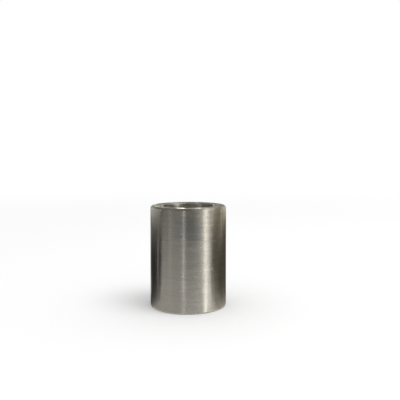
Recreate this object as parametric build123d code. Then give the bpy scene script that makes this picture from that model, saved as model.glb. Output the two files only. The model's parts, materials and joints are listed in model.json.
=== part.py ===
from build123d import *
import os

# Spacer sleeve: a plain tube turned from stainless steel bar, with both ends
# faced square and every edge broken at 45 degrees. It stands on its lower end
# face, with its axis along +Z and the origin at the centre of that face.
# All sizes are in millimetres.

OUTER_D = 19.0       # turned outside diameter
BORE_D = 13.0        # plain through bore, a clearance hole for a 12 mm bolt or rod
LENGTH = 25.0        # over the two end faces
OUTER_BREAK = 0.35   # 45 degree break on both outside edges
BORE_BREAK = 0.25    # 45 degree break on both mouths of the bore

outer_r = OUTER_D / 2
bore_r = BORE_D / 2
top = LENGTH

# Half section of the wall in the XZ plane, from the bore mouth of the lower
# end outwards, up the outside, and back down the bore.
section = [
    (bore_r + BORE_BREAK, 0),
    (outer_r - OUTER_BREAK, 0),
    (outer_r, OUTER_BREAK),
    (outer_r, top - OUTER_BREAK),
    (outer_r - OUTER_BREAK, top),
    (bore_r + BORE_BREAK, top),
    (bore_r, top - BORE_BREAK),
    (bore_r, BORE_BREAK),
]

with BuildPart() as sleeve:
    with BuildSketch(Plane.XZ):
        with BuildLine():
            Polyline(*section, close=True)
        make_face()
    revolve(axis=Axis.Z)

spacer_sleeve = sleeve.part
spacer_sleeve.label = "spacer_sleeve"

os.makedirs("parts", exist_ok=True)
export_step(spacer_sleeve, "parts/spacer_sleeve.step")
print("wall", outer_r - bore_r, "mm, volume", round(spacer_sleeve.volume, 2), "mm3")
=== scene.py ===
import json
import math

import bpy
import numpy as np
from mathutils import Matrix, Vector


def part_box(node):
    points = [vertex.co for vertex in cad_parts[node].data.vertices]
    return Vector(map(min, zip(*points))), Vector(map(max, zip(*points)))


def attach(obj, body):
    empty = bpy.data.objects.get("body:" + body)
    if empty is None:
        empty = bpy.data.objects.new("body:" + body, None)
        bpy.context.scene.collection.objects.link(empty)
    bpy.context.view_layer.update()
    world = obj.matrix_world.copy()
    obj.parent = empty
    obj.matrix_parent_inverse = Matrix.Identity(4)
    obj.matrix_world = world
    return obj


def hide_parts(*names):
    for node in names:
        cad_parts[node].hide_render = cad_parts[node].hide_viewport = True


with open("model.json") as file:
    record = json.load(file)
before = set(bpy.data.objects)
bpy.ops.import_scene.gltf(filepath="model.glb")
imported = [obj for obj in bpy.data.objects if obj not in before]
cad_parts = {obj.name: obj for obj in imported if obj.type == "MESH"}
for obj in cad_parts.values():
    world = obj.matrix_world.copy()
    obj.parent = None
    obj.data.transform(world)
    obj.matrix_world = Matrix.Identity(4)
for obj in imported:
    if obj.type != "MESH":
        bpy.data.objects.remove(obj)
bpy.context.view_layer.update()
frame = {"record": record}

# ----------------------------------------------------------------- sizes
low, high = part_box("spacer_sleeve")
LENGTH = high.z - low.z
mounts = {m["name"]: m for m in frame["record"]["mounts"]}
R_OUT = mounts["outside"]["dims"]["r_mm"] / 1000
R_BORE = mounts["bore"]["dims"]["r_mm"] / 1000
BREAK_OUT = (LENGTH - mounts["outside"]["dims"]["length_mm"] / 1000) / 2
BREAK_BORE = (LENGTH - mounts["bore"]["dims"]["length_mm"] / 1000) / 2
MM = 0.001
TURNS = 320  # segments round the sleeve
rng = np.random.default_rng(7)


def smooth(a, b, x):
    t = np.clip((x - a) / (b - a), 0, 1)
    return t * t * (3 - 2 * t)


# ----------------------------------------------------------------- sleeve
def rounded(points, radii, steps=4):
    """A closed section (r, z) with each corner rounded by its own radius."""
    out, n = [], len(points)
    for i in range(n):
        p, a, b = (np.array(points[k % n], float) for k in (i, i - 1, i + 1))
        u, w = (a - p) / np.linalg.norm(a - p), (b - p) / np.linalg.norm(b - p)
        half = math.acos(max(-1, min(1, float(u @ w)))) / 2
        cut = radii[i] / math.tan(half)
        centre = p + (u + w) / np.linalg.norm(u + w) * radii[i] / math.sin(half)
        start, end = p + u * cut - centre, p + w * cut - centre
        turn = math.atan2(start[0] * end[1] - start[1] * end[0], float(start @ end))
        for k in range(steps + 1):
            t = turn * k / steps
            c, s = math.cos(t), math.sin(t)
            out.append(centre + np.array([c * start[0] - s * start[1], s * start[0] + c * start[1]]))
    return out


def divided(points, longest):
    """Extra points on each run of a closed section, by how long a run may be there."""
    out, n = [], len(points)
    for i in range(n):
        p, q = points[i], points[(i + 1) % n]
        far = np.linalg.norm(q - p)
        at = [0.0]
        while at[-1] < far:
            at.append(at[-1] + longest(p + (q - p) * min(1, (at[-1] + 0.01 * MM) / far)))
        at = np.array(at) * far / at[-1]
        out += [p + (q - p) * t / far for t in at[:-1]]
    return np.array(out)


def round_wave(turn, orders, seed):
    """A wandering value round the sleeve, about -1 to 1."""
    g = np.random.default_rng(seed)
    total = np.zeros_like(turn)
    for k in orders:
        total += g.normal() * np.sin(k * turn + g.uniform(0, 2 * math.pi))
    return total / (1.2 * math.sqrt(len(orders)))


def spacing(p):
    """How far apart the rings of points may be at (r, z): closest in the bore near each mouth, where the rings left by the boring tool show."""
    if p[0] < R_BORE + 0.1 * MM:
        deep = min(p[1], LENGTH - p[1])
        return (0.13 if deep < 8 * MM else 0.4) * MM
    if p[0] > R_OUT - 0.1 * MM:
        return (0.25 if min(p[1], LENGTH - p[1]) < 1.2 * MM else 0.9) * MM
    return 0.3 * MM


def make_sleeve():
    section = [
        (R_BORE + BREAK_BORE, 0), (R_OUT - BREAK_OUT, 0),
        (R_OUT, BREAK_OUT), (R_OUT, LENGTH - BREAK_OUT),
        (R_OUT - BREAK_OUT, LENGTH), (R_BORE + BREAK_BORE, LENGTH),
        (R_BORE, LENGTH - BREAK_BORE), (R_BORE, BREAK_BORE),
    ]
    face, side, bore = 0.14 * MM, 0.07 * MM, 0.08 * MM  # how far each corner is rounded
    ring = divided(rounded(section, [bore, face, side, side, face, bore, bore, bore]), spacing)
    n = len(ring)
    step = np.linalg.norm(np.roll(ring, -1, 0) - ring, axis=1)
    along = np.r_[0, np.cumsum(step)]
    turn = np.arange(TURNS) * 2 * math.pi / TURNS
    r = np.repeat(ring[:, 0][:, None], TURNS, 1)
    z = np.repeat(ring[:, 1][:, None], TURNS, 1)
    r0, z0 = r.copy(), z.copy()
    for top in (True, False):
        deep = LENGTH - z0 if top else z0  # distance below this end
        down = -1 if top else 1
        # Outer edge break: its width wanders a little, as an edge broken by hand on the lathe does.
        wander = 0.16 * round_wave(turn, (1, 2, 3, 5, 8), 11 + top) + 0.03 * round_wave(turn, (17, 29, 41), 21 + top)
        near_side = np.exp(-((deep - BREAK_OUT) / (0.22 * MM)) ** 2) * (r0 > R_OUT - 0.03 * MM)
        near_face = np.exp(-((r0 - (R_OUT - BREAK_OUT)) / (0.22 * MM)) ** 2) * (deep < 0.03 * MM)
        z += down * BREAK_OUT * wander * near_side
        r -= BREAK_OUT * wander * near_face
        # Edge of the bore: the same, and a little rougher.
        wander = 0.17 * round_wave(turn, (1, 2, 4, 7, 11), 31 + top) + 0.03 * round_wave(turn, (19, 31, 47), 41 + top)
        near_bore = np.exp(-((deep - BREAK_BORE) / (0.16 * MM)) ** 2) * (r0 < R_BORE + 0.03 * MM)
        near_face = np.exp(-((r0 - (R_BORE + BREAK_BORE)) / (0.16 * MM)) ** 2) * (deep < 0.03 * MM)
        z += down * BREAK_BORE * wander * near_bore
        r += BREAK_BORE * wander * near_face
        # Nicks on the outer edge.
        for _ in range(9):
            at, wide, cut = rng.uniform(0, 2 * math.pi), rng.uniform(0.25, 0.6) * MM / R_OUT, rng.uniform(0.02, 0.05) * MM
            off = (turn - at + math.pi) % (2 * math.pi) - math.pi
            dent = cut * np.exp(-(off / wide) ** 2) * np.exp(-(((deep - BREAK_OUT) ** 2 + (r0 - R_OUT) ** 2) / (0.18 * MM) ** 2))
            r -= dent
            z += down * dent
        # Shallow rings on the end face, from facing it off.
        on_face = (deep < 0.01 * MM) * smooth(R_BORE + BREAK_BORE, R_BORE + BREAK_BORE + 0.4 * MM, r0) * (1 - smooth(R_OUT - BREAK_OUT - 0.4 * MM, R_OUT - BREAK_OUT, r0))
        z += down * 0.004 * MM * on_face * (1 + np.sin(r0 / MM * 5.1 + 0.6 * round_wave(turn, (1, 2), 51)))
    # Rings left by the boring tool: ridges about 0.75 mm apart, deeper towards the mouths, each standing out of the wall
    # only by what the tool left, so the bore stays its own size between them.
    in_bore = (r0 < R_BORE + 0.02 * MM)
    phase = 2 * math.pi * (z0 / (0.75 * MM) + 0.25 * np.sin(z0 / (1.9 * MM)) + turn / (2 * math.pi))
    fade = 1 - 0.75 * smooth(5 * MM, 9 * MM, np.minimum(z0, LENGTH - z0))
    depth = (0.011 + 0.005 * np.sin(z0 / (2.3 * MM))) * MM
    r += in_bore * fade * depth * (1 + np.sin(phase)) * smooth(0.3 * MM, 0.7 * MM, np.minimum(z0, LENGTH - z0))
    r = np.minimum(r, R_OUT)
    z = np.clip(z, 0, LENGTH)
    x, y = r * np.cos(turn), r * np.sin(turn)
    verts = np.stack([x, y, z], 2).reshape(-1, 3)
    i, j = np.meshgrid(np.arange(n), np.arange(TURNS), indexing="ij")
    i2, j2 = (i + 1) % n, (j + 1) % TURNS
    faces = np.stack([i * TURNS + j, i * TURNS + j2, i2 * TURNS + j2, i2 * TURNS + j], 2).reshape(-1, 4)
    u0, u1 = j / TURNS, (j + 1) / TURNS
    v0, v1 = along[i] / along[-1], along[i + 1] / along[-1]
    uv = np.stack([np.stack([u0, v0], 2), np.stack([u1, v0], 2), np.stack([u1, v1], 2), np.stack([u0, v1], 2)], 2)
    mesh = bpy.data.meshes.new("sleeve")
    mesh.from_pydata(verts.tolist(), [], faces.tolist())
    layer = mesh.uv_layers.new(name="OFBake")
    layer.uv.foreach_set("vector", uv.reshape(-1).astype(np.float32))
    mesh.polygons.foreach_set("use_smooth", np.ones(len(faces), bool))
    mesh.update()
    mesh.validate()
    piece = bpy.data.objects.new("sleeve", mesh)
    bpy.context.scene.collection.objects.link(piece)
    print("sleeve:", n, "rings,", 2 * len(faces), "triangles")
    return piece


sleeve = make_sleeve()
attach(sleeve, "root")
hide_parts("spacer_sleeve")

# ----------------------------------------------------------------- material
steel = bpy.data.materials.new("turned_stainless")
steel.use_nodes = True
nt = steel.node_tree
bsdf = nt.nodes["Principled BSDF"]
bsdf.inputs["Metallic"].default_value = 1
bsdf.inputs["Anisotropic"].default_value = 1.0
bsdf.inputs["Anisotropic Rotation"].default_value = 0.25
tangent = nt.nodes.new("ShaderNodeTangent")
tangent.direction_type = "RADIAL"
tangent.axis = "Z"
nt.links.new(tangent.outputs[0], bsdf.inputs["Tangent"])


def put(node, socket, value):
    if isinstance(value, bpy.types.NodeSocket):
        nt.links.new(value, node.inputs[socket])
    else:
        node.inputs[socket].default_value = value


def m(op, a, b=0.0, c=0.0, clamp=False):
    node = nt.nodes.new("ShaderNodeMath")
    node.operation, node.use_clamp = op, clamp
    for k, v in enumerate((a, b, c)):
        put(node, k, v)
    return node.outputs[0]


def vec(x, y, z):
    node = nt.nodes.new("ShaderNodeCombineXYZ")
    for k, v in enumerate((x, y, z)):
        put(node, k, v)
    return node.outputs[0]


def noise(at, detail=2.0, rough=0.5):
    """Noise from about -1 to 1 at a place already scaled."""
    node = nt.nodes.new("ShaderNodeTexNoise")
    put(node, "Vector", at)
    put(node, "Scale", 1.0)
    put(node, "Detail", detail)
    put(node, "Roughness", rough)
    return m("MULTIPLY_ADD", node.outputs["Fac"], 4.0, -2.0)


def band(value, low, high, edge):
    """1 where low < value < high, soft over edge outside it."""
    def rise(v, a, b):
        node = nt.nodes.new("ShaderNodeMapRange")
        node.interpolation_type = "SMOOTHSTEP"
        put(node, "Value", v)
        put(node, "From Min", a)
        put(node, "From Max", b)
        return node.outputs[0]
    return m("MULTIPLY", rise(value, low - edge, low), m("SUBTRACT", 1.0, rise(value, high, high + edge)))


place = nt.nodes.new("ShaderNodeTexCoord")
split = nt.nodes.new("ShaderNodeSeparateXYZ")
nt.links.new(place.outputs["Object"], split.inputs[0])
X, Y, Z = (m("MULTIPLY", split.outputs[k], 1000.0) for k in range(3))  # mm
RAD = m("SQRT", m("ADD", m("MULTIPLY", X, X), m("MULTIPLY", Y, Y)))
CX, CY = m("DIVIDE", X, RAD), m("DIVIDE", Y, RAD)  # the direction round the sleeve
RUN = m("MULTIPLY_ADD", RAD, 1.37, Z)  # grows along side, bore and faces alike


def turned(around, along, offset=0.0, detail=2.0, rough=0.5):
    """Noise drawn out round the sleeve as a turning tool leaves it: around per radian, along per mm."""
    return noise(vec(m("MULTIPLY", CX, around), m("MULTIPLY", CY, around), m("MULTIPLY_ADD", RUN, along, offset)), detail, rough)


length_mm, r_out_mm, r_bore_mm = LENGTH / MM, R_OUT / MM, R_BORE / MM
in_bore = band(RAD, 0.0, r_bore_mm + 0.04, 0.03)
on_face = m("MULTIPLY", m("SUBTRACT", 1.0, band(Z, 0.03, length_mm - 0.03, 0.02)), band(RAD, r_bore_mm + BREAK_BORE / MM, r_out_mm - BREAK_OUT / MM, 0.03))
on_side = band(RAD, r_out_mm - 0.02, r_out_mm + 1.0, 0.02)

feed = turned(1.6, 5.2, 3.0, 3.0, 0.65)      # fine feed marks
groups = turned(0.9, 1.1, 40.0, 2.0)         # marks stand in broader groups
patch = turned(3.2, 0.32, 80.0, 3.0)         # handling, wiped areas
grain = turned(14.0, 9.0, 120.0, 1.0)        # short fine scratches
sway = turned(2.6, 0.75, 160.0, 2.0)         # slight waviness of the wall
ripple = turned(5.0, 2.4, 200.0, 1.0)
mottle = turned(19.0, 4.2, 240.0, 1.0, 0.6)  # short dents and rises that break up a reflection's edge

# Where the wall is coarser: an area at the front, upper half, and patches elsewhere.
coarse = m("MULTIPLY", m("MULTIPLY", band(CX, -0.24, 0.20, 0.16), band(CY, -1.1, -0.6, 0.2)), band(Z, 12.5, 30.0, 4.0))
coarse = m("MAXIMUM", coarse, m("MULTIPLY_ADD", turned(1.3, 0.12, 280.0, 1.0), 0.5, 0.1, clamp=True))
dots = turned(14.0, 2.1, 320.0, 1.0, 0.6)
lines = turned(4.0, 0.80, 360.0, 1.0, 0.6)   # rows of marks cut sharper and duller
keen = m("MULTIPLY", band(CX, -0.18, -0.09, 0.05), band(CY, -1.1, -0.6, 0.2))  # a brighter, less even stretch at the front
lively = m("MULTIPLY_ADD", band(CX, 0.15, 1.1, 0.45), 0.80, 1.0)  # marks stand out more on one half

# A scratch round the front and a few specks. Both are real marks, and both are lighter in colour than the steel as a
# painted highlight.
scratch_and_sheen = m("MULTIPLY", band(m("MULTIPLY_ADD", CX, 0.35, Z), 17.28, 17.44, 0.07),
            m("MULTIPLY", band(CX, -0.02, 0.66, 0.12), band(CY, -1.1, -0.5, 0.1)))
scratch_and_sheen = m("MULTIPLY", scratch_and_sheen, m("MULTIPLY", on_side, m("MULTIPLY_ADD", grain, 0.35, 0.75, clamp=True)))


def speck(azimuth, z, wide, tall):
    a = math.radians(azimuth)
    side = m("MULTIPLY", m("SUBTRACT", m("MULTIPLY", CX, math.cos(a)), m("MULTIPLY", CY, -math.sin(a))), r_out_mm / wide)
    front = m("GREATER_THAN", m("SUBTRACT", m("MULTIPLY", CX, math.sin(a)), m("MULTIPLY", CY, math.cos(a))), 0.9)
    rise = m("DIVIDE", m("SUBTRACT", Z, z), tall)
    away = m("SQRT", m("ADD", m("MULTIPLY", side, side), m("MULTIPLY", rise, rise)))
    return m("MULTIPLY", front, m("MULTIPLY", m("SUBTRACT", 1.0, away), 1.7, clamp=True))


def marks(places):
    """The strongest of several specks: (azimuth in degrees, height mm, half width mm, half height mm, how strong)."""
    total = None
    for azimuth, z, wide, tall, much in places:
        one = m("MULTIPLY", speck(azimuth, z, wide, tall), much)
        total = one if total is None else m("MAXIMUM", total, one)
    return m("MULTIPLY", total, on_side)


# Specks: small raised marks, much lighter in colour as painted glints.
specks_and_glints = marks(((19.6, 15.85, 0.36, 0.20, 1.0), (-9.7, 19.2, 0.42, 0.28, 0.5), (38.8, 10.4, 0.17, 0.65, 0.7), (72.0, 12.4, 0.16, 0.13, 0.8),
                (43.5, 19.6, 0.16, 0.50, 0.4), (-75.0, 6.5, 0.45, 0.07, 0.6), (118.0, 15.0, 0.50, 0.06, 0.7), (161.0, 8.2, 0.30, 0.06, 0.7),
                (-128.0, 18.0, 0.14, 0.11, 0.8), (-158.0, 5.1, 0.55, 0.07, 0.6)))
pits_and_shade = marks(((-31.5, 17.50, 0.62, 0.14, 1.0), (-31.2, 16.75, 0.62, 0.14, 1.0), (96.0, 19.2, 0.30, 0.20, 1.0), (-101.0, 9.6, 0.24, 0.22, 0.9),
              (145.0, 12.7, 0.50, 0.13, 0.9), (13.0, 5.8, 0.16, 0.16, 0.6)))
# A darker, cooler colour over an area above the scratch and a weaker one to its left.
dark_cool_patch = m("MULTIPLY", m("MULTIPLY", band(CX, 0.02, 0.28, 0.14), band(CY, -1.1, -0.5, 0.1)), band(m("MULTIPLY_ADD", CX, 0.35, Z), 17.40, 20.5, 3.0))
dark_cool_patch = m("MAXIMUM", dark_cool_patch, m("MULTIPLY", m("MULTIPLY", band(CX, -0.27, 0.1, 0.08), band(CY, -1.1, -0.5, 0.1)), m("MULTIPLY", band(Z, 18.6, 21.6, 1.2), 0.6)))
dark_cool_patch = m("MULTIPLY", m("MULTIPLY", dark_cool_patch, m("GREATER_THAN", m("MULTIPLY_ADD", CX, 0.35, Z), 17.30)), on_side)

# Colour: stainless steel, a few percent lighter and darker along the marks. The bore is darker and warmer as painted
# shade; the scratch and specks are lighter as painted highlights; the pits are darker as painted shade.
tone = m("MULTIPLY_ADD", m("MULTIPLY", feed, lively), 0.064, 1.0)
tone = m("MULTIPLY_ADD", m("MULTIPLY", groups, lively), 0.050, tone)
tone = m("MULTIPLY_ADD", patch, 0.025, tone)
tone = m("MULTIPLY_ADD", grain, 0.030, tone)
tone = m("MULTIPLY_ADD", m("MULTIPLY", mottle, lively), 0.055, tone)
tone = m("MULTIPLY_ADD", on_face, -0.03, tone)
# Painted shade: the bore is darker in colour than the rest of the steel.
tone = m("MULTIPLY_ADD", in_bore, -0.11, tone)
# Painted highlight: the scratch is lighter in colour than the steel.
tone = m("MULTIPLY_ADD", scratch_and_sheen, 0.28, tone)
# Painted glints: the specks are much lighter in colour than the steel.
tone = m("MULTIPLY_ADD", specks_and_glints, 0.55, tone)
# Painted shade: the pits are darker in colour.
tone = m("MULTIPLY_ADD", pits_and_shade, -0.22, tone)
tone = m("MULTIPLY_ADD", dark_cool_patch, -0.13, tone)
tint = m("MULTIPLY", patch, 0.012)
tint = m("MULTIPLY_ADD", dark_cool_patch, -0.018, tint)
# Painted shade: the bore's colour is also warmer.
tint = m("MULTIPLY_ADD", in_bore, 0.010, tint)
colour = vec(m("MULTIPLY", m("ADD", 0.600, tint), tone), m("MULTIPLY", 0.585, tone), m("MULTIPLY", m("SUBTRACT", 0.555, tint), tone))
put(bsdf, "Base Color", colour)

# Roughness: side, faces, bore and edges as each was cut.
rough = m("MULTIPLY_ADD", on_face, 0.03, 0.27)
rough = m("MULTIPLY_ADD", on_side, 0.03, rough)
rough = m("MULTIPLY_ADD", in_bore, 0.03, rough)
rough = m("MULTIPLY_ADD", feed, 0.012, rough)
rough = m("MULTIPLY_ADD", lines, m("MULTIPLY_ADD", keen, 0.034, 0.010), rough)
rough = m("MULTIPLY_ADD", keen, -0.008, rough)
rough = m("MULTIPLY_ADD", patch, 0.015, rough)
rough = m("MULTIPLY_ADD", scratch_and_sheen, 0.22, rough)
rough = m("MULTIPLY_ADD", specks_and_glints, 0.25, rough)
put(bsdf, "Roughness", rough)

# Relief in mm, as a bump: feed marks, waviness, the scratch and the specks.
relief = m("MULTIPLY", feed, 0.0012)
relief = m("MULTIPLY_ADD", sway, 0.0110, relief)
relief = m("MULTIPLY_ADD", ripple, 0.0038, relief)
relief = m("MULTIPLY_ADD", mottle, m("MULTIPLY_ADD", on_side, 0.0020, 0.0008), relief)
relief = m("MULTIPLY_ADD", dots, m("MULTIPLY", coarse, 0.0022), relief)
relief = m("MULTIPLY_ADD", scratch_and_sheen, -0.006, relief)
relief = m("MULTIPLY_ADD", m("SUBTRACT", specks_and_glints, pits_and_shade), 0.010, relief)
flat = m("ADD", m("ADD", on_side, on_face), in_bore, clamp=True)
relief = m("MULTIPLY", relief, m("MULTIPLY_ADD", flat, 0.55, 0.45))  # less on the narrow edges
bump = nt.nodes.new("ShaderNodeBump")
bump.inputs["Strength"].default_value = 1.0
bump.inputs["Distance"].default_value = MM
nt.links.new(relief, bump.inputs["Height"])
nt.links.new(bump.outputs[0], bsdf.inputs["Normal"])
sleeve.data.materials.append(steel)


# ----------------------------------------------------------------- studio
def glow(name, colour, strength):
    m = bpy.data.materials.new(name)
    m.use_nodes = True
    m.node_tree.nodes.clear()
    out = m.node_tree.nodes.new("ShaderNodeOutputMaterial")
    em = m.node_tree.nodes.new("ShaderNodeEmission")
    em.inputs["Color"].default_value = (*colour, 1)
    em.inputs["Strength"].default_value = strength
    m.node_tree.links.new(em.outputs[0], out.inputs["Surface"])
    m.cycles.emission_sampling = "NONE"
    return m


def add(name, verts, faces, material):
    mesh = bpy.data.meshes.new(name)
    mesh.from_pydata([tuple(map(float, v)) for v in verts], [], [tuple(map(int, f)) for f in faces])
    mesh.materials.append(material)
    o = bpy.data.objects.new(name, mesh)
    bpy.context.scene.collection.objects.link(o)
    return o


def only_reflected(o):
    """The object shows in polished metal and nowhere else, as a studio card outside the picture does."""
    o.visible_camera = o.visible_diffuse = o.visible_shadow = False
    o.visible_transmission = o.visible_volume_scatter = False
    return o


def card(name, levels, rows, colour=(1, 1, 1), solid=False, fanned=False):
    """A reflected studio card standing round the sleeve. levels: (azimuth in degrees, brightness), 0 towards the
    camera and positive to the right; rows: (distance from the axis mm, height mm, share of the brightness). A card that
    is not solid only adds its light to what stands behind it. A fanned card lies along the directions in which the side
    mirrors the camera's view: its azimuths are those directions and its distances start at the wall."""
    az0, az1 = levels[0][0], levels[-1][0]
    n = max(2, int(abs(az1 - az0) / 1.5))
    az = np.linspace(az0, az1, n + 1)
    level = np.interp(az, [a for a, _ in levels], [v for _, v in levels])
    a = np.radians(az)
    verts, faces, light = [], [], []
    for k in range(n + 1):
        for r, z, share in rows:
            x, y = r * MM * math.sin(a[k]), r * MM * math.cos(a[k])
            if fanned:
                x, y = x + R_OUT * math.sin(a[k] / 2.09), y + R_OUT * math.cos(a[k] / 2.09)
            verts.append((x, -y, z * MM))
            light.append(level[k] * share)
    m = len(rows)
    for k in range(n):
        for j in range(m - 1):
            faces.append((k * m + j, (k + 1) * m + j, (k + 1) * m + j + 1, k * m + j + 1))
    mat = bpy.data.materials.new("card_" + name)
    mat.use_nodes = True
    t = mat.node_tree
    t.nodes.clear()
    out, em = t.nodes.new("ShaderNodeOutputMaterial"), t.nodes.new("ShaderNodeEmission")
    read = t.nodes.new("ShaderNodeAttribute")
    read.attribute_name = "light"
    em.inputs["Color"].default_value = (*colour, 1)
    t.links.new(read.outputs["Fac"], em.inputs["Strength"])
    if solid:
        t.links.new(em.outputs[0], out.inputs["Surface"])
    else:
        both, clear = t.nodes.new("ShaderNodeAddShader"), t.nodes.new("ShaderNodeBsdfTransparent")
        t.links.new(em.outputs[0], both.inputs[0])
        t.links.new(clear.outputs[0], both.inputs[1])
        t.links.new(both.outputs[0], out.inputs["Surface"])
    mat.cycles.emission_sampling = "NONE"
    o = only_reflected(add(name, verts, faces, mat))
    o.data.attributes.new("light", "FLOAT", "POINT").data.foreach_set("value", np.array(light, np.float32))
    return o


def disc(name, radius, z, material, n=96):
    verts = [(radius * math.cos(2 * math.pi * k / n), radius * math.sin(2 * math.pi * k / n), z) for k in range(n)]
    return add(name, verts, [tuple(range(n))], material)


paper = bpy.data.materials.new("pale_floor")
paper.use_nodes = True
p = paper.node_tree.nodes["Principled BSDF"]
p.inputs["Base Color"].default_value = (0.8, 0.8, 0.8, 1)
p.inputs["Roughness"].default_value = 0.9
p.inputs["Specular IOR Level"].default_value = 0.0
# Far from the sleeve the floor turns into the white behind it, so that no horizon shows.
n = paper.node_tree.nodes
white, away, span, fade, both = n.new("ShaderNodeEmission"), n.new("ShaderNodeTexCoord"), n.new("ShaderNodeVectorMath"), n.new("ShaderNodeMapRange"), n.new("ShaderNodeMixShader")
span.operation = "LENGTH"
fade.interpolation_type = "SMOOTHSTEP"
fade.inputs["From Min"].default_value = 0.06
fade.inputs["From Max"].default_value = 0.42
for a, b in ((away.outputs["Object"], span.inputs[0]), (span.outputs["Value"], fade.inputs["Value"]), (fade.outputs[0], both.inputs[0]),
             (p.outputs[0], both.inputs[1]), (white.outputs[0], both.inputs[2]), (both.outputs[0], n["Material Output"].inputs["Surface"])):
    paper.node_tree.links.new(a, b)
paper.cycles.emission_sampling = "NONE"
floor = disc("floor", 1.0, -0.00002, paper)
floor.visible_glossy = False

# A white dome: what the camera and the floor see all round.
rings, n = 12, 48
verts = [(1.0 * math.cos(math.pi / 2 * k / rings) * math.cos(2 * math.pi * j / n), 1.0 * math.cos(math.pi / 2 * k / rings) * math.sin(2 * math.pi * j / n), -0.001 + 1.0 * math.sin(math.pi / 2 * k / rings)) for k in range(rings) for j in range(n)]
faces = [(k * n + j, k * n + (j + 1) % n, (k + 1) * n + (j + 1) % n, (k + 1) * n + j) for k in range(rings - 1) for j in range(n)]
verts.append((0, 0, 0.999))
faces += [((rings - 1) * n + j, (rings - 1) * n + (j + 1) % n, len(verts) - 1) for j in range(n)]
dome = add("dome", verts, faces, glow("white_dome", (1, 1, 1), 1.0))
dome.visible_glossy = False

world = bpy.data.worlds.new("studio")
bpy.context.scene.world = world
world.use_nodes = True
world.node_tree.nodes["Background"].inputs["Color"].default_value = (0, 0, 0, 1)

# What the steel reflects. Front: a grey table, a dark room, a narrow strip light a little left of the camera and a large
# warm softbox at the right. Behind: dark flags close to the sleeve, light above them, and a ceiling.
WARM, TAN = (1.03, 1.0, 0.925), (1.09, 0.995, 0.77)
card("table_left", [(-92, 0.50), (-76, 0.56), (-60, 0.53), (-52, 0.565), (-44, 0.56), (-34, 0.54), (-26, 0.55), (-20, 0.55), (-14, 0.25), (-11, 0.14), (-8, 0)],
     [(8.9, -0.05, 0.9), (9.5, -0.05, 0.98), (30, -0.05, 1.04), (60, -0.05, 0.94), (80, -0.05, 0.76), (110, -0.05, 0.45), (130, -0.05, 0.27), (150, -0.05, 0.18), (150, 60, 0.13)], WARM)
card("table_centre", [(-20, 0), (-8, 0.62), (22, 0.66), (28, 0.28), (34, 0)],
     [(8.9, -0.047, 0.9), (9.5, -0.047, 1.0), (40, -0.047, 1.0), (65, -0.047, 0.5), (90, -0.047, 0.15), (150, -0.047, 0.05)], (1.02, 1.005, 0.93))
card("table_right", [(22, 0), (28, 0.32), (34, 0.68), (46, 0.82), (56, 0.75), (63, 0.52), (80, 0.46)],
     [(8.9, -0.05, 0.9), (9.5, -0.05, 1.0), (50, -0.05, 1.0), (75, -0.05, 0.5), (150, -0.05, 0.2)], WARM)
card("strip_left", [(-21, 0), (-16.5, 0.06), (-13.8, 0.10), (-12.6, 0.98), (-11.7, 1.0), (-10.4, 0.18), (-6, 0.08), (-3, 0)],
     [(14, -0.04, 0), (30, -0.04, 0.85), (52, -0.04, 1), (75, -0.04, 0.55), (115, -0.04, 0.50), (136, -0.04, 1.2), (150, -0.04, 1.3), (150, 4, 0.85), (150, 100, 0.85)], (1.02, 1.0, 0.97))
card("strip_foot", [(-9.5, 0), (-7.5, 0.1), (-5, 0.1), (-3, 0)], [(9.5, -0.036, 1), (20, -0.036, 1), (34, -0.036, 0)], WARM)
card("dark_room", [(-92, 0.09), (-66, 0.085), (-60, 0.045), (-48, 0.035), (60, 0.035)], [(151, 30, 0), (151, 60, 1), (151, 150, 1)], WARM)
card("stripe_high", [(-58, 0), (-56, 0.8), (-53, 0.8), (-51, 0)], [(150, 40, 0), (150, 60, 1), (150, 120, 1)], WARM)
card("softbox", [(14, 0), (22, 0.10), (28, 0.20), (34, 0.35), (38, 0.35), (42, 0.53), (45, 0.81), (48, 1.25), (50, 1.97), (54, 2.45), (57, 1.82), (61, 1.40), (66, 0.98), (70, 0.6), (74, 0.12), (77, 0)],
     [(150, -0.05, 1), (150, 60, 1), (150, 110, 0.9)], (1.045, 1.0, 0.90))
card("softbox_foot", [(47.5, 0), (51.5, 0.32), (54.5, 0.78), (58.5, 0.72), (62, 0.12), (70, 0.10), (78, 0.15), (84, 0)], [(0, -0.04, 1), (14, -0.04, 1), (30, -0.04, 0.3), (60, -0.04, 0)], WARM, fanned=True)
card("softbox_top", [(56, 0), (66, 0.7), (76, 1.3), (92, 1.3), (100, 0)], [(150, 100, 0.5), (150, 130, 1), (150, 200, 1)], WARM)
card("flag_left", [(-180, 0.30), (-140, 0.26), (-124, 0.08), (-116, 0.02), (-110, 0.02), (-100, 0.03), (-87, 0.04), (-70.5, 0.035)],
     [(15, -0.04, 3.5), (22, 0.2, 2.5), (22, 5, 1), (22, 18, 1)], WARM, solid=True)
card("slit_left", [(-84.2, 0), (-83.0, 0.5), (-81.8, 0.5), (-79.8, 0)], [(21.8, 0.5, 0.4), (21.8, 6, 0.8), (21.8, 10.5, 1.0), (21.8, 12.4, 1.7), (21.8, 14.4, 1.0), (21.8, 16.5, 0.5), (21.8, 18, 0.1)], WARM)
card("edge_left", [(-140, 0.09), (-118, 0.09), (-108, 0.055), (-97, 0.035), (-86, 0)], [(21.8, 11, 0), (21.8, 16, 0.8), (21.8, 24, 1)], WARM)
card("glow_left", [(-150, 0.35), (-134, 0.5), (-112, 0.74), (-84, 0.64), (-78, 0.54), (-70.5, 0.5)],
     [(22, 18, 0.02), (22, 20, 0.10), (22, 22.6, 0.72), (22, 25, 1.12), (22, 27, 1.0), (22, 29, 0.6), (22, 34, 0.5)], WARM, solid=True)
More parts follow.
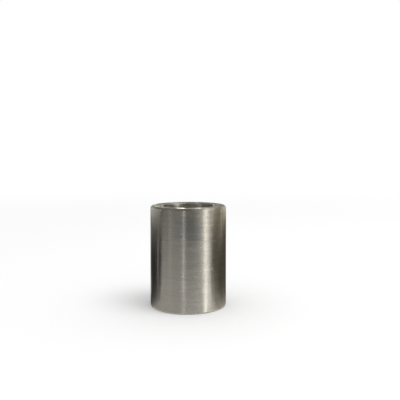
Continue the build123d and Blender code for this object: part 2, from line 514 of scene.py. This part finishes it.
card("base_left", [(-180, 0.5), (-135, 0.4), (-120, 0.12), (-110, 0.10), (-94, 0.21), (-84, 0.36), (-76, 0.54), (-70.5, 0.66)], [(8.9, -0.044, 0.7), (15, -0.044, 0.7)], WARM, solid=True)
card("flag_right", [(61, 0.12), (66, 0.115), (80, 0.11), (88, 0.07), (98, 0.066), (111, 0.086), (131, 0.06), (140, 0.20), (152, 0.34), (180, 0.30)],
     [(15, -0.04, 2.5), (22, 0.2, 1.5), (22, 4.5, 1), (22, 17, 1)], TAN, solid=True)
card("glow_right", [(61, 1.1), (66, 0.6), (72, 0.46), (76, 0.43), (80, 0.34), (88, 0.34), (95, 0.38), (98.3, 0.8), (102, 0.42), (111, 0.75), (131, 0.65), (150, 0.4)],
     [(22, 17, 0.06), (22, 19.5, 0.18), (22, 22.3, 0.88), (22, 24, 1.1), (22, 27, 1.05), (22, 29, 0.8), (22, 34, 0.7)], TAN, solid=True)
card("edge_right", [(55, 0), (58, 0.25), (61.5, 0.25), (65, 0)], [(21.7, 16.8, 0), (21.7, 18, 0.8), (21.7, 20.5, 1), (21.7, 23, 0.5), (21.7, 26, 0.3)], WARM)
card("foot_left", [(-86, 0), (-80, 0.20), (-72, 0.26), (-68, 0)], [(21.7, -0.05, 1), (21.7, 1.8, 1), (21.7, 3.9, 0)], WARM)
card("line_right", [(95, 0), (97.2, 0.34), (99.4, 0.34), (101.5, 0)], [(21.8, 14.3, 0), (21.8, 15.8, 0.6), (21.8, 18, 1), (21.8, 21, 1), (21.8, 23, 0.3)], TAN)
card("foot_right", [(61.5, 0), (63.5, 0.35), (67, 0.35), (70, 0.08), (74, 0)], [(21.8, -0.05, 1), (21.8, 4, 1), (21.8, 7.5, 0)], WARM)
card("blotch_right", [(76, 0), (80, 0.08), (86, 0.22), (89, 0.22), (93, 0.08), (97, 0)], [(21.8, 14.6, 0), (21.8, 15.9, 1), (21.8, 17.6, 1), (21.8, 19.5, 0)], TAN)
card("bore_glint", [(81, 0), (89, 1.0), (96, 1.0), (104, 0)], [(7.6, 25.2, 0), (7.6, 27, 1), (7.6, 29, 1), (7.6, 31, 0)], WARM)
card("base_right", [(61, 0.72), (66, 0.82), (72, 0.88), (80, 0.76), (90, 0.62), (110, 0.54), (130, 0.5), (180, 0.5)], [(8.9, -0.044, 0.75), (9.5, -0.044, 0.75), (15, -0.044, 0.6)], (1.07, 1.0, 0.84), solid=True)
card("back_wall", [(140, 0.16), (166, 0.18), (180, 0.28), (220, 0.26)], [(150, 0, 1), (150, 60, 1)], TAN)
card("back_high", [(138, 0.2), (150, 0.32), (160, 0.36), (170, 0.36), (180, 0.30), (188, 0.28), (208, 0.28), (214, 0.2), (222, 0)],
     [(149, 55, 0), (149, 75, 1), (149, 110, 1), (149, 150, 0.5), (100, 220, 0.1)], WARM)
card("back_stripes", [(168, 0), (170, 1.8), (175.5, 1.8), (176.8, 0.6), (183.2, 0.6), (184.6, 2.0), (189.6, 2.0), (191, 0.4), (196, 0)], [(26, 25, 1), (26, 32, 1), (26, 34, 0)], WARM)
card("back_stripe_left", [(187, 0), (190, 2.2), (197, 2.4), (200, 2.8), (203, 2.6), (205.5, 1.2), (208, 0.8), (210, 0)], [(26, 28.6, 0), (26, 29.1, 1), (26, 30.5, 1), (26, 31, 0)], WARM)
card("rim_glint", [(88, 0), (100, 1.2), (112, 1.9), (124, 1.6), (134, 1.0), (142, 0.8), (152, 0.7), (166, 0.7), (186, 0.5), (194, 0.7), (206, 4.2), (211, 4.2), (218, 2.6), (234, 2.3), (252, 1.0), (272, 0.3), (284, 0)], [(3.4, 25.6, 0), (3.4, 27, 1), (3.4, 31.5, 1), (3.4, 33.5, 0)], WARM)
card("rear_shade", [(148, 0.20), (165, 0.22), (180, 0.20), (186, 0.30), (200, 0.22), (216, 0.20)], [(14.5, 25.05, 1), (14.5, 27.8, 1)], WARM, solid=True)
card("ceiling", [(-180, 0.10), (-150, 0.12), (-110, 0.25), (-60, 0.2), (0, 0.15), (40, 0.4), (75, 0.75), (94, 0.55), (104, 0.36), (116, 0.36), (128, 0.5), (148, 0.4), (168, 0.10), (180, 0.10)],
     [(150, 100, 0), (140, 150, 1), (70, 260, 1), (1, 280, 0.6)], WARM)

key = bpy.data.lights.new("key", "AREA")
key.shape = "DISK"
key.size = 0.35
key.energy = 1.2
key_o = bpy.data.objects.new("key", key)
bpy.context.scene.collection.objects.link(key_o)
key_o.location = (0.22, -0.12, 0.55)
key_o.rotation_mode = "QUATERNION"
key_o.rotation_quaternion = (Vector((0, 0, 0.01)) - key_o.location).to_track_quat("-Z", "Y")
key_o.visible_glossy = False
key_o.visible_camera = False

# ----------------------------------------------------------------- camera
FOCAL_PX, PITCH, ROLL, RIGHT_PX, DROP_PX = 533.4, math.radians(1.568), math.radians(0.01), 0.20, 32.0
cam = bpy.data.cameras.new("camera")
cam.sensor_fit = "HORIZONTAL"
cam.sensor_width = 36
cam.lens = FOCAL_PX / 400 * 36
cam.shift_x, cam.shift_y = -RIGHT_PX / 400, -DROP_PX / 400  # the upright edges stay nearly parallel, as they are in the photograph
cam.clip_start, cam.clip_end = 0.005, 5
cam_o = bpy.data.objects.new("camera", cam)
bpy.context.scene.collection.objects.link(cam_o)
fwd = Vector((0, math.cos(PITCH), -math.sin(PITCH)))
up0 = Vector((0, math.sin(PITCH), math.cos(PITCH)))
right0 = Vector((1, 0, 0))
right = math.cos(ROLL) * right0 + math.sin(ROLL) * up0
up = -math.sin(ROLL) * right0 + math.cos(ROLL) * up0
cam_o.matrix_world = Matrix((right, up, -fwd)).transposed().to_4x4()
cam_o.location = (0.0030, -0.13407, 0.03803)
bpy.context.scene.camera = cam_o

bpy.context.scene.view_settings.view_transform = "Standard"
bpy.context.scene.view_settings.look = "None"
